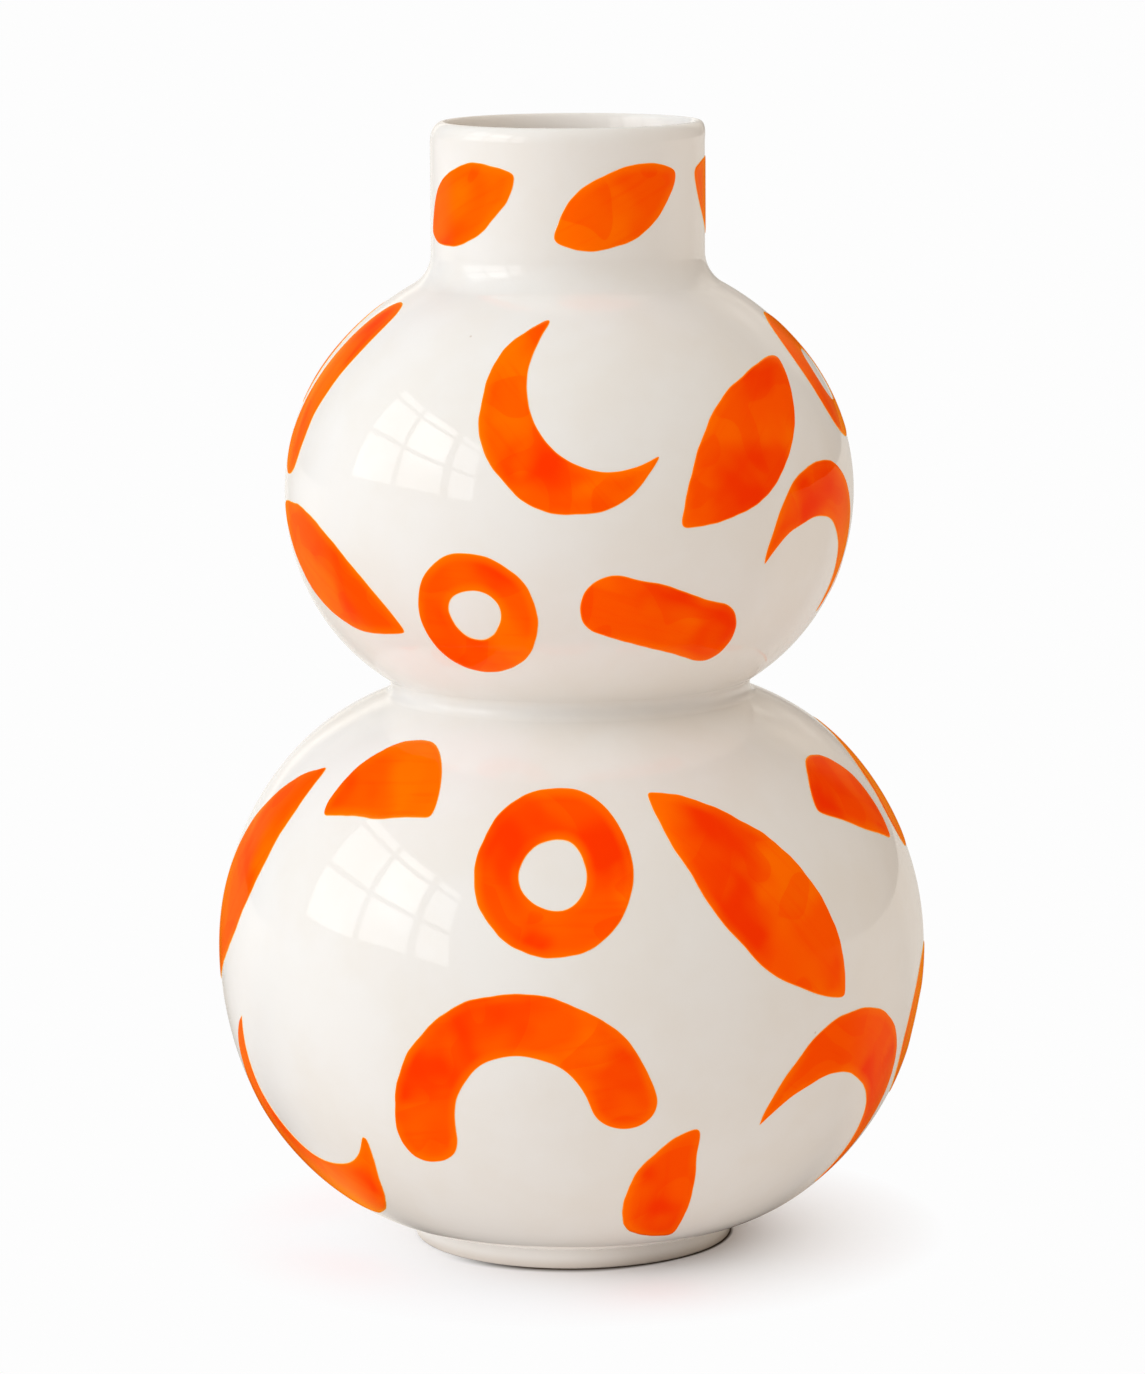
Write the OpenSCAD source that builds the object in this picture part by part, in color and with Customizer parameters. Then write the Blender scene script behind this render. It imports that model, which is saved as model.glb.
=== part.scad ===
// Double-gourd vase of glazed earthenware, built from luted sections.
// Millimetres, +Z up, origin at the centre of the foot on the table.

/* [Wall] */
// Thickness of the fired wall, the same in every section
wall = 5.2; // [4.6:0.1:7]
// Thickness of the slip layer that lutes two sections
seam_t = 0.6; // [0.3:0.1:1.2]

/* [Foot] */
// Outside radius of the foot ring on the table
foot_r = 56.7; // [48:0.1:66]
// Growth of that radius from the table to the underside of the base
foot_flare = 0.7; // [0.2:0.1:3]
// Height of the foot ring, up to the underside of the base
foot_h = 7.3; // [5:0.1:12]
// Width of the foot ring, from its outside to its recess
foot_w = 8; // [6:0.1:12]
// Bevel on the two standing edges of the foot ring
foot_bevel = 0.8; // [0.3:0.1:2]

/* [Lower bulb] */
// Radius of the lower bulb at its widest line
lower_belly_r = 126.2; // [106:0.1:146]
// Height from the base to the lower bulb's widest line
lower_side_h = 98.6; // [84:0.1:116]
// Height from that line to the waist
lower_top_h = 94.6; // [80:0.1:112]
// Angle from level, below the widest line, at which the belly turns into the side
lower_belly_deg = 19.2; // [15:0.1:24]
// Angle at which the side turns into the heel
lower_side_deg = 52.7; // [48:0.1:57]
// Angle at which the heel meets the foot
lower_heel_deg = 79.8; // [74:0.1:84]
// Angle above the widest line at which the top turns into the shoulder
lower_top_deg = 40; // [34:0.1:46]
// Angle at which the shoulder meets the hollow of the waist
lower_shoulder_deg = 70.3; // [66:0.1:75]

/* [Waist] */
// Radius of the waist at its narrowest
waist_r = 64; // [55:0.1:74]
// Radius of the hollow that runs round the waist
waist_fillet_r = 3.9; // [2.5:0.1:6]

/* [Upper bulb] */
// Radius of the upper bulb at its widest line
upper_belly_r = 100.8; // [86:0.1:116]
// Height from the waist to the upper bulb's widest line
upper_side_h = 68.9; // [60:0.1:80]
// Height from that line to the root of the neck
upper_top_h = 84.7; // [74:0.1:98]
// Angle from level, below the widest line, at which the belly turns into the underside
upper_belly_deg = 26; // [22:0.1:30]
// Angle at which the underside meets the hollow of the waist
upper_under_deg = 57.2; // [53:0.1:62]
// Angle above the widest line at which the top turns into the shoulder
upper_top_deg = 39; // [34:0.1:44]
// Angle at which the shoulder meets the hollow of the neck
upper_shoulder_deg = 60.7; // [56:0.1:65]

/* [Neck] */
// Outside radius of the straight neck
neck_r = 48.3; // [41:0.1:56]
// Height of the neck, from its root to the top of the lip
neck_h = 45.9; // [38:0.1:60]
// Radius of the hollow at the root of the neck
neck_fillet_r = 13.3; // [8:0.1:16]

/* [Lip] */
// Height of the lip ring at the top of the neck
lip_h = 8; // [6:0.1:14]
// Rounding of the lip's outer edge
lip_outer_r = 2.2; // [1:0.1:2.6]
// Rounding of the lip's inner edge
lip_inner_r = 1.4; // [0.6:0.1:1.8]

/* [Brush marks] */
// Thickness of a mark's coloured glaze over the wall
mark_t = 0.4; // [0.2:0.05:0.8]
// Clearance between the wall and the mark on it
mark_gap = 0.05; // [0.02:0.01:0.2]
// Width of the brush stroke that the arches and bars are drawn with
stroke_w = 22; // [16:0.5:26]
// Length of a leaf on the lower bulb
lower_leaf_l = 98; // [76:1:100]
// Width of a leaf on the lower bulb
lower_leaf_w = 38; // [26:1:42]
// Radius of an arch on the lower bulb, at the middle of its stroke
lower_arch_r = 35; // [28:1:38]
// Radius of a crescent on the lower bulb
lower_crescent_r = 39; // [30:1:40]
// Outside radius of a ring on the lower bulb
lower_ring_r = 27; // [22:1:30]
// Radius of a half moon on the lower bulb
lower_moon_r = 24; // [18:1:27]
// Length of a leaf on the upper bulb
upper_leaf_l = 82; // [64:1:84]
// Width of a leaf on the upper bulb
upper_leaf_w = 33; // [22:1:35]
// Radius of a crescent on the upper bulb
upper_crescent_r = 32; // [25:1:34]
// Outside radius of a ring on the upper bulb
upper_ring_r = 22; // [18:1:25]
// Length of a bar on the upper bulb
upper_bar_l = 62; // [50:1:68]
// Length of a leaf on the neck
neck_leaf_l = 52; // [40:1:54]
// Width of a leaf on the neck
neck_leaf_w = 26; // [18:0.5:27]

/* [Hidden] */
$fn = 128;

// Colours of the fired pieces
clay_colour = [0.86, 0.83, 0.78];
slip_colour = [0.72, 0.66, 0.58];
glaze_colour = [0.95, 0.93, 0.90];
mark_colour = [0.93, 0.36, 0.06];

// A wedge's straight edges reach this many times the radius that it cuts
wedge_reach_share = 3;

// Turn between two points on the line that a mark follows
coat_step_deg = 3;

// Turn by which one stretch of a wall runs into the next, so that they are one solid
lap_deg = 0.03;

// Heights of the lines that the sections share, counted from the table
lower_belly_z = foot_h + lower_side_h;
waist_z = lower_belly_z + lower_top_h;
upper_belly_z = waist_z + upper_side_h;
neck_z = upper_belly_z + upper_top_h;
total_h = neck_z + neck_h;
lip_z = total_h - lip_h;

// Inside radius of the mouth, and the foot ring's outside radius under the base
mouth_r = neck_r - wall;
foot_top_r = foot_r + foot_flare;

// Radius of the belly's curve, as a share of that of an ellipse of the same height and width
lower_belly_curve_share = 0.861;

// Unit vector at an angle in the plane of the profile
function unit(a) = [cos(a), sin(a)];

// Step that an arc of radius 1 takes as its outward direction turns from one angle to another
function arc_step(from, to) = unit(to) - unit(from);

// Radii of two arcs that turn from a to b and from b to c, and together go the distance reach
function two_radii(reach, a, b, c) =
    let (
        p = arc_step(a, b),
        q = arc_step(b, c),
        area = p[0] * q[1] - p[1] * q[0]
    )
    [(reach[0] * q[1] - reach[1] * q[0]) / area, (p[0] * reach[1] - p[1] * reach[0]) / area];

// An arc is [centre, radius]. This one starts at the widest line, level with its centre
function belly_arc(r, z, radius) = [[r - radius, z], radius];

// The arc that leaves arc c at the angle a, in the same direction
function turn_into(c, a, radius) = [c[0] + (c[1] - radius) * unit(a), radius];

// Turn of arc c over a length equal to the slip layer's thickness
function seam_deg(c) = seam_t / c[1] * 180 / PI;

// Corner of the foot, and centres of the hollows that the bulbs run into
foot_corner = [foot_top_r, foot_h];
waist_hollow = [waist_r + waist_fillet_r, waist_z];
neck_hollow = [neck_r + neck_fillet_r, neck_z];

// Arcs of the lower bulb's outside below its widest line
lower_belly = [lower_belly_r, lower_belly_z];
lower_belly_arc_r = lower_belly_curve_share * lower_side_h * lower_side_h / (lower_belly_r - foot_top_r);
lower_belly_arc = belly_arc(lower_belly_r, lower_belly_z, lower_belly_arc_r);
lower_side_radii = two_radii(
    foot_corner - lower_belly - lower_belly_arc_r * arc_step(0, -lower_belly_deg),
    -lower_belly_deg, -lower_side_deg, -lower_heel_deg
);
lower_side_arc = turn_into(lower_belly_arc, -lower_belly_deg, lower_side_radii[0]);
lower_heel_arc = turn_into(lower_side_arc, -lower_side_deg, lower_side_radii[1]);

// Arcs of the lower bulb's outside above its widest line
lower_top_radii = two_radii(
    waist_hollow - waist_fillet_r * unit(lower_shoulder_deg) - lower_belly,
    0, lower_top_deg, lower_shoulder_deg
);
lower_top_arc = belly_arc(lower_belly_r, lower_belly_z, lower_top_radii[0]);
lower_shoulder_arc = turn_into(lower_top_arc, lower_top_deg, lower_top_radii[1]);
waist_seam_deg = lower_shoulder_deg - seam_deg(lower_shoulder_arc);

// Arcs of the upper bulb's outside below its widest line
upper_belly = [upper_belly_r, upper_belly_z];
upper_side_radii = two_radii(
    waist_hollow - waist_fillet_r * unit(-upper_under_deg) - upper_belly,
    0, -upper_belly_deg, -upper_under_deg
);
upper_belly_arc = belly_arc(upper_belly_r, upper_belly_z, upper_side_radii[0]);
upper_under_arc = turn_into(upper_belly_arc, -upper_belly_deg, upper_side_radii[1]);

// Arcs of the upper bulb's outside above its widest line
upper_top_radii = two_radii(
    neck_hollow - neck_fillet_r * unit(upper_shoulder_deg) - upper_belly,
    0, upper_top_deg, upper_shoulder_deg
);
upper_top_arc = belly_arc(upper_belly_r, upper_belly_z, upper_top_radii[0]);
upper_shoulder_arc = turn_into(upper_top_arc, upper_top_deg, upper_top_radii[1]);
neck_seam_deg = upper_shoulder_deg - seam_deg(upper_shoulder_arc);

// Points along arc c, grown outwards, from just past one angle to another
function arc_points(c, low, high, grow) =
    let (n = ceil((high - low) / coat_step_deg))
    [for (i = [1:n]) c[0] + (c[1] + grow) * unit(low + (high - low) * i / n)];

// Line of the lower bulb's outside, grown outwards, from the foot up
function lower_line(grow) = concat(
    [lower_heel_arc[0] + (lower_heel_arc[1] + grow) * unit(-lower_heel_deg)],
    arc_points(lower_heel_arc, -lower_heel_deg, -lower_side_deg, grow),
    arc_points(lower_side_arc, -lower_side_deg, -lower_belly_deg, grow),
    arc_points(lower_belly_arc, -lower_belly_deg, 0, grow),
    arc_points(lower_top_arc, 0, lower_top_deg, grow),
    arc_points(lower_shoulder_arc, lower_top_deg, lower_shoulder_deg, grow)
);

// Line of the upper bulb's outside, grown outwards, from the waist up
function upper_line(grow) = concat(
    [upper_under_arc[0] + (upper_under_arc[1] + grow) * unit(-upper_under_deg)],
    arc_points(upper_under_arc, -upper_under_deg, -upper_belly_deg, grow),
    arc_points(upper_belly_arc, -upper_belly_deg, 0, grow),
    arc_points(upper_top_arc, 0, upper_top_deg, grow),
    arc_points(upper_shoulder_arc, upper_top_deg, upper_shoulder_deg, grow)
);

// Proportions of the marks, as shares of their radius
crescent_drop_share = 0.52;
crescent_hollow_share = 0.88;
ring_hole_share = 0.42;

// Where each mark sits: degrees round the vase from its front, height as a share of the
// section that it is on, and degrees of tilt
lower_leaf_shares = [[34, 0.70, -50], [-76, 0.68, 60], [124, 0.37, 40], [-148, 0.69, -42]];
lower_arch_shares = [[-8, 0.34, 12], [102, 0.69, -24], [-114, 0.34, 160]];
lower_crescent_shares = [[52, 0.295, -30], [-58, 0.29, 150], [166, 0.66, 24]];
lower_ring_shares = [[-3, 0.76, 0], [85, 0.40, 0], [-112, 0.69, 0], [170, 0.284, 0]];
lower_moon_shares = [[23, 0.20, 98], [-40, 0.83, 4], [64, 0.78, -20], [145, 0.81, 60], [-158, 0.43, 200]];
upper_leaf_shares = [[40, 0.61, 40], [-62, 0.31, -28], [130, 0.66, -42], [-154, 0.56, 32]];
upper_crescent_shares = [[1, 0.68, 130], [61, 0.345, -24], [171, 0.46, 86], [-107, 0.68, 20]];
upper_ring_shares = [[-20, 0.244, 0], [84, 0.72, 0], [-106, 0.27, 0], [139, 0.25, 0]];
upper_bar_shares = [[20, 0.23, -18], [104, 0.30, 26], [-75, 0.70, 74], [-157, 0.20, -12]];
neck_leaf_shares = [[22, 0.41, 26], [-50, 0.41, 26], [94, 0.41, -26], [166, 0.41, 26], [-122, 0.41, -26]];

// The base's edge leans with the end of the bowl's wall
base_edge = lower_heel_arc[0] + (lower_heel_arc[1] - wall) * unit(-lower_heel_deg);

// Wedge of the profile's plane between two angles about the origin
module wedge(r, low, high) {
    reach = r * wedge_reach_share;
    polygon([[0, 0], reach * unit(low), reach * unit(high)]);
}

// Strip of the profile between two radii and two angles about a centre
module strip(centre, inner_r, outer_r, low, high) {
    translate(centre)
        intersection() {
            difference() {
                circle(r = outer_r);
                circle(r = inner_r);
            }
            wedge(outer_r, low, high);
        }
}

// Wall inside an arc that bulges outwards
module bulge(arc, low, high) {
    strip(arc[0], arc[1] - wall, arc[1], low, high);
}

// Wall behind a hollow, from the angle of the piece below to that of the piece above
module hollow(centre, r, low, high) {
    strip(centre, r, r + wall, low, high);
}

// Foot ring, with both standing edges bevelled
module foot_ring() {
    inner_r = foot_r - foot_w;
    color(clay_colour)
        rotate_extrude()
            polygon([
                [inner_r + foot_bevel, 0],
                [foot_r - foot_bevel, 0],
                [foot_r, foot_bevel],
                [foot_top_r, foot_h - seam_t],
                [inner_r, foot_h - seam_t],
                [inner_r, foot_bevel]
            ]);
}

// Slip between the foot ring and the base
module foot_seam() {
    color(slip_colour)
        translate([0, 0, foot_h - seam_t])
            difference() {
                cylinder(r = foot_top_r, h = seam_t);
                translate([0, 0, -seam_t])
                    cylinder(r = foot_r - foot_w, h = 3 * seam_t);
            }
}

// Floor of the vessel, whose edge takes the end of the bowl's wall
module base_disc() {
    color(clay_colour)
        rotate_extrude()
            polygon([
                [0, foot_h],
                foot_corner,
                base_edge,
                [0, base_edge[1]]
            ]);
}

// Lower half of the lower bulb: heel, side and belly
module lower_bowl() {
    color(glaze_colour)
        rotate_extrude()
            union() {
                bulge(lower_heel_arc, -lower_heel_deg, -lower_side_deg + lap_deg);
                bulge(lower_side_arc, -lower_side_deg, -lower_belly_deg + lap_deg);
                bulge(lower_belly_arc, -lower_belly_deg, 0);
            }
}

// Slip at the widest line of the lower bulb
module lower_belly_seam() {
    color(slip_colour)
        rotate_extrude()
            bulge(lower_top_arc, 0, seam_deg(lower_top_arc));
}

// Upper half of the lower bulb, up to the waist
module lower_shoulder() {
    color(glaze_colour)
        rotate_extrude()
            union() {
                bulge(lower_top_arc, seam_deg(lower_top_arc), lower_top_deg + lap_deg);
                bulge(lower_shoulder_arc, lower_top_deg, waist_seam_deg);
            }
}

// Slip between the lower bulb and the waist's coil
module waist_seam() {
    color(slip_colour)
        rotate_extrude()
            bulge(lower_shoulder_arc, waist_seam_deg, lower_shoulder_deg);
}

// Coil smoothed into the groove between the bulbs
module waist_collar() {
    color(glaze_colour)
        rotate_extrude()
            hollow(waist_hollow, waist_fillet_r, 180 + lower_shoulder_deg, 180 - upper_under_deg);
}

// Lower half of the upper bulb
module upper_bowl() {
    color(glaze_colour)
        rotate_extrude()
            union() {
                bulge(upper_under_arc, -upper_under_deg, -upper_belly_deg + lap_deg);
                bulge(upper_belly_arc, -upper_belly_deg, 0);
            }
}

// Slip at the widest line of the upper bulb
module upper_belly_seam() {
    color(slip_colour)
        rotate_extrude()
            bulge(upper_top_arc, 0, seam_deg(upper_top_arc));
}

// Upper half of the upper bulb, up to the neck
module upper_shoulder() {
    color(glaze_colour)
        rotate_extrude()
            union() {
                bulge(upper_top_arc, seam_deg(upper_top_arc), upper_top_deg + lap_deg);
                bulge(upper_shoulder_arc, upper_top_deg, neck_seam_deg);
            }
}

// Slip at the root of the neck
module neck_seam() {
    color(slip_colour)
        rotate_extrude()
            bulge(upper_shoulder_arc, neck_seam_deg, upper_shoulder_deg);
}

// Straight neck with the hollow at its root
module neck_collar() {
    color(glaze_colour)
        rotate_extrude()
            union() {
                hollow(neck_hollow, neck_fillet_r, 180 + upper_shoulder_deg, 180);
                translate([mouth_r, neck_z])
                    square([wall, lip_z - neck_z]);
            }
}

// Lip of the mouth, rounded on both edges
module rim_lip() {
    color(glaze_colour)
        rotate_extrude()
            translate([mouth_r, lip_z])
                union() {
                    square([wall, lip_h - lip_outer_r]);
                    translate([lip_inner_r, 0])
                        square([wall - lip_inner_r - lip_outer_r, lip_h]);
                    square([wall / 2, lip_h - lip_inner_r]);
                    translate([lip_inner_r, lip_h - lip_inner_r])
                        circle(r = lip_inner_r);
                    translate([wall - lip_outer_r, lip_h - lip_outer_r])
                        circle(r = lip_outer_r);
                }
}

// Ring all round the vase between two lines of its profile
module coat(outer, inner) {
    rotate_extrude()
        polygon(concat(outer, [for (i = [len(inner) - 1:-1:0]) inner[i]]));
}

// Coat all round the lower bulb
module lower_coat() {
    coat(lower_line(mark_gap + mark_t), lower_line(mark_gap));
}

// Coat all round the upper bulb
module upper_coat() {
    coat(upper_line(mark_gap + mark_t), upper_line(mark_gap));
}

// Coat round the straight of the neck
module neck_coat() {
    rotate_extrude()
        translate([neck_r + mark_gap, neck_z])
            square([mark_t, lip_z - neck_z]);
}

// A flat shape drawn out from the axis at each place, on the section between two heights
module stamp(places, low, high, reach) {
    for (place = places)
        rotate([0, 0, place[0]])
            translate([0, 0, low + place[1] * (high - low)])
                rotate([90, 0, 0])
                    linear_extrude(reach)
                        rotate(place[2])
                            children();
}

// Leaf of a length and a width, with two equal sides
module leaf(l, w) {
    side_r = (l * l + w * w) / (4 * w);
    intersection() {
        translate([0, side_r - w / 2])
            circle(r = side_r);
        translate([0, w / 2 - side_r])
            circle(r = side_r);
    }
}

// Arch of a stroke, with round ends
module arch(r, w) {
    difference() {
        circle(r = r + w / 2);
        circle(r = r - w / 2);
        translate([0, -r - w])
            square(2 * (r + w), center = true);
    }
    for (side = [-r, r])
        translate([side, 0])
            circle(r = w / 2);
}

// Crescent of a radius, whose hollow side is a larger circle
module crescent(r) {
    difference() {
        circle(r = r);
        translate([0, -r * crescent_drop_share])
            circle(r = r * crescent_hollow_share);
    }
}

// Ring of a radius
module ring(r) {
    difference() {
        circle(r = r);
        circle(r = r * ring_hole_share);
    }
}

// Half moon of a radius
module half_moon(r) {
    intersection() {
        circle(r = r);
        translate([-r, 0])
            square([2 * r, r]);
    }
}

// Bar of a stroke, with round ends
module bar(l, w) {
    square([l - w, w], center = true);
    for (side = [-1, 1])
        translate([side * (l - w) / 2, 0])
            circle(r = w / 2);
}

// One flat shape, wrapped on the lower bulb at each place
module lower_marks(places) {
    color(mark_colour)
        intersection() {
            lower_coat();
            stamp(places, 0, waist_z, lower_belly_r + wall)
                children();
        }
}

// One flat shape, wrapped on the upper bulb at each place
module upper_marks(places) {
    color(mark_colour)
        intersection() {
            upper_coat();
            stamp(places, waist_z, neck_z, upper_belly_r + wall)
                children();
        }
}

// Leaves on the lower bulb
module lower_leaves() {
    lower_marks(lower_leaf_shares)
        leaf(lower_leaf_l, lower_leaf_w);
}

// Arches on the lower bulb
module lower_arches() {
    lower_marks(lower_arch_shares)
        arch(lower_arch_r, stroke_w);
}

// Crescents on the lower bulb
module lower_crescents() {
    lower_marks(lower_crescent_shares)
        crescent(lower_crescent_r);
}

// Rings on the lower bulb
module lower_rings() {
    lower_marks(lower_ring_shares)
        ring(lower_ring_r);
}

// Half moons on the lower bulb
module lower_half_moons() {
    lower_marks(lower_moon_shares)
        half_moon(lower_moon_r);
}

// Leaves on the upper bulb
module upper_leaves() {
    upper_marks(upper_leaf_shares)
        leaf(upper_leaf_l, upper_leaf_w);
}

// Crescents on the upper bulb
module upper_crescents() {
    upper_marks(upper_crescent_shares)
        crescent(upper_crescent_r);
}

// Rings on the upper bulb
module upper_rings() {
    upper_marks(upper_ring_shares)
        ring(upper_ring_r);
}

// Bars on the upper bulb
module upper_bars() {
    upper_marks(upper_bar_shares)
        bar(upper_bar_l, stroke_w);
}

// Leaves round the straight of the neck
module neck_leaves() {
    color(mark_colour)
        intersection() {
            neck_coat();
            stamp(neck_leaf_shares, neck_z, total_h, neck_r + wall)
                leaf(neck_leaf_l, neck_leaf_w);
        }
}

foot_ring();
foot_seam();
base_disc();
lower_bowl();
lower_belly_seam();
lower_shoulder();
waist_seam();
waist_collar();
upper_bowl();
upper_belly_seam();
upper_shoulder();
neck_seam();
neck_collar();
rim_lip();
lower_leaves();
lower_arches();
lower_crescents();
lower_rings();
lower_half_moons();
upper_leaves();
upper_crescents();
upper_rings();
upper_bars();
neck_leaves();
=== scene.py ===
"""Looks of the double-gourd vase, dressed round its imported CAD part. Metres, in the part's own frame."""

import math
from typing import NamedTuple

import bpy
import numpy as np
from mathutils import Matrix, Vector
from mathutils.geometry import delaunay_2d_cdt


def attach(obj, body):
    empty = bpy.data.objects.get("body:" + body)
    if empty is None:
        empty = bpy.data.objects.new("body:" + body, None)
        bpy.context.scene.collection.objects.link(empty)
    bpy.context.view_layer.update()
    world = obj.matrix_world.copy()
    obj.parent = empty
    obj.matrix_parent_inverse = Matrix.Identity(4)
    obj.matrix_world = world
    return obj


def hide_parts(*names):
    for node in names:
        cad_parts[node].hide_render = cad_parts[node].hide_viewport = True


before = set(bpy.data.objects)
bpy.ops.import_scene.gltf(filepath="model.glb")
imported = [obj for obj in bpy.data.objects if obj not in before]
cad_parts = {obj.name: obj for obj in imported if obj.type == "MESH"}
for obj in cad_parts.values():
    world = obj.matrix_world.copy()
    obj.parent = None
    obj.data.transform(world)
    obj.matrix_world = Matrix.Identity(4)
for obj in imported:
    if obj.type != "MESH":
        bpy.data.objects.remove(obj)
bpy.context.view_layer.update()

# Sizes of the part, in millimetres and degrees, as in its source
MM = 0.001
WALL = 5.2
FOOT_R, FOOT_FLARE, FOOT_H, FOOT_W, FOOT_BEVEL = 56.7, 0.7, 7.3, 8, 0.8
LOWER_BELLY_R, LOWER_SIDE_H, LOWER_TOP_H = 126.2, 98.6, 94.6
LOWER_BELLY_DEG, LOWER_SIDE_DEG, LOWER_HEEL_DEG = 19.2, 52.7, 79.8
LOWER_TOP_DEG, LOWER_SHOULDER_DEG = 40, 70.3
LOWER_BELLY_CURVE_SHARE = 0.861
WAIST_R, WAIST_FILLET_R = 64, 3.9
UPPER_BELLY_R, UPPER_SIDE_H, UPPER_TOP_H = 100.8, 68.9, 84.7
UPPER_BELLY_DEG, UPPER_UNDER_DEG = 26, 57.2
UPPER_TOP_DEG, UPPER_SHOULDER_DEG = 39, 60.7
NECK_R, NECK_H, NECK_FILLET_R = 48.3, 45.9, 13.3
LIP_H = 8
STROKE_W = 22
LOWER_LEAF, UPPER_LEAF, NECK_LEAF = (98, 38), (82, 33), (52, 26)
LOWER_ARCH_R, LOWER_CRESCENT_R, LOWER_RING_R, LOWER_MOON_R = 35, 39, 27, 24
UPPER_CRESCENT_R, UPPER_RING_R, UPPER_BAR_L = 32, 22, 62
CRESCENT_DROP_SHARE, CRESCENT_HOLLOW_SHARE, RING_HOLE_SHARE = 0.52, 0.88, 0.42

# Heights from the table
LOWER_BELLY_Z = FOOT_H + LOWER_SIDE_H
WAIST_Z = LOWER_BELLY_Z + LOWER_TOP_H
UPPER_BELLY_Z = WAIST_Z + UPPER_SIDE_H
NECK_Z = UPPER_BELLY_Z + UPPER_TOP_H
TOTAL_H = NECK_Z + NECK_H
LIP_Z = TOTAL_H - LIP_H

# Where each mark sits: degrees round from the front, share of its section's height, tilt
LOWER_LEAVES = [(34, 0.70, -50), (-76, 0.68, 60), (124, 0.37, 40), (-148, 0.69, -42)]
LOWER_ARCHES = [(-8, 0.34, 12), (102, 0.69, -24), (-114, 0.34, 160)]
LOWER_CRESCENTS = [(52, 0.295, -30), (-58, 0.29, 150), (166, 0.66, 24)]
LOWER_RINGS = [(-3, 0.76, 0), (85, 0.40, 0), (-112, 0.69, 0), (170, 0.284, 0)]
LOWER_MOONS = [(23, 0.20, 98), (-40, 0.83, 4), (64, 0.78, -20), (145, 0.81, 60), (-158, 0.43, 200)]
UPPER_LEAVES = [(40, 0.61, 40), (-62, 0.31, -28), (130, 0.66, -42), (-154, 0.56, 32)]
UPPER_CRESCENTS = [(1, 0.68, 130), (61, 0.345, -24), (171, 0.46, 86), (-107, 0.68, 20)]
UPPER_RINGS = [(-20, 0.244, 0), (84, 0.72, 0), (-106, 0.27, 0), (139, 0.25, 0)]
UPPER_BARS = [(20, 0.23, -18), (104, 0.30, 26), (-75, 0.70, 74), (-157, 0.20, -12)]
NECK_LEAVES = [(22, 0.41, 26), (-50, 0.41, 26), (94, 0.41, -26), (166, 0.41, 26), (-122, 0.41, -26)]

# Fineness of the turned walls, round the axis and along the profile
TURN_STEPS = 256
ROW_DEG, ROW_MM, CORNER_DEG = 1.5, 2.0, 10
LIP_ROWS, FOOT_GLAZE_ROWS = 16, 13

# The lip's edge is rounded by two ovals, each a width and a height, and stands a little to the right
LIP_OUTSIDE, LIP_INSIDE = (3.4, 5.5), (1.8, 7.0)
LIP_SHIFT = 1.2

# Glaze that rounds the crease above the foot ring, and how deep its hidden ends lie in the wall
FOOT_GLAZE_R = 1.3
FOOT_GLAZE_SUNK = 0.5


# ---------------------------------------------------------------- profile

class Arc(NamedTuple):
    """Stretch of the outside. Its normal turns from low to high; a hollow has a radius below zero."""
    centre: np.ndarray
    radius: float
    low: float
    high: float


def unit(deg):
    """Unit vector in the plane of the profile."""
    return np.array([math.cos(math.radians(deg)), math.sin(math.radians(deg))])


def two_radii(reach, a, b, c):
    """Radii of two arcs that turn from a to b and from b to c, and together go the distance reach."""
    return np.linalg.solve(np.column_stack([unit(b) - unit(a), unit(c) - unit(b)]), reach)


def belly_arc(r, z, radius, low, high):
    """Arc whose centre is level with the widest line."""
    return Arc(np.array([r - radius, z]), radius, low, high)


def turn_into(arc, deg, radius, low, high):
    """Arc that leaves another at an angle, in the same direction."""
    return Arc(arc.centre + (arc.radius - radius) * unit(deg), radius, low, high)


WAIST_CENTRE = np.array([WAIST_R + WAIST_FILLET_R, WAIST_Z])
NECK_ROOT_CENTRE = np.array([NECK_R + NECK_FILLET_R, NECK_Z])


def lower_arcs():
    """Arcs of the lower bulb's outside, from the foot up to the waist."""
    foot_corner = np.array([FOOT_R + FOOT_FLARE, FOOT_H])
    widest = np.array([LOWER_BELLY_R, LOWER_BELLY_Z])
    belly_r = LOWER_BELLY_CURVE_SHARE * LOWER_SIDE_H ** 2 / (LOWER_BELLY_R - foot_corner[0])
    belly = belly_arc(*widest, belly_r, -LOWER_BELLY_DEG, 0)
    reach = foot_corner - widest - belly_r * (unit(-LOWER_BELLY_DEG) - unit(0))
    side_r, heel_r = two_radii(reach, -LOWER_BELLY_DEG, -LOWER_SIDE_DEG, -LOWER_HEEL_DEG)
    side = turn_into(belly, -LOWER_BELLY_DEG, side_r, -LOWER_SIDE_DEG, -LOWER_BELLY_DEG)
    heel = turn_into(side, -LOWER_SIDE_DEG, heel_r, -LOWER_HEEL_DEG, -LOWER_SIDE_DEG)
    reach = WAIST_CENTRE - WAIST_FILLET_R * unit(LOWER_SHOULDER_DEG) - widest
    top_r, shoulder_r = two_radii(reach, 0, LOWER_TOP_DEG, LOWER_SHOULDER_DEG)
    top = belly_arc(*widest, top_r, 0, LOWER_TOP_DEG)
    shoulder = turn_into(top, LOWER_TOP_DEG, shoulder_r, LOWER_TOP_DEG, LOWER_SHOULDER_DEG)
    return [heel, side, belly], [top, shoulder]


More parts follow.
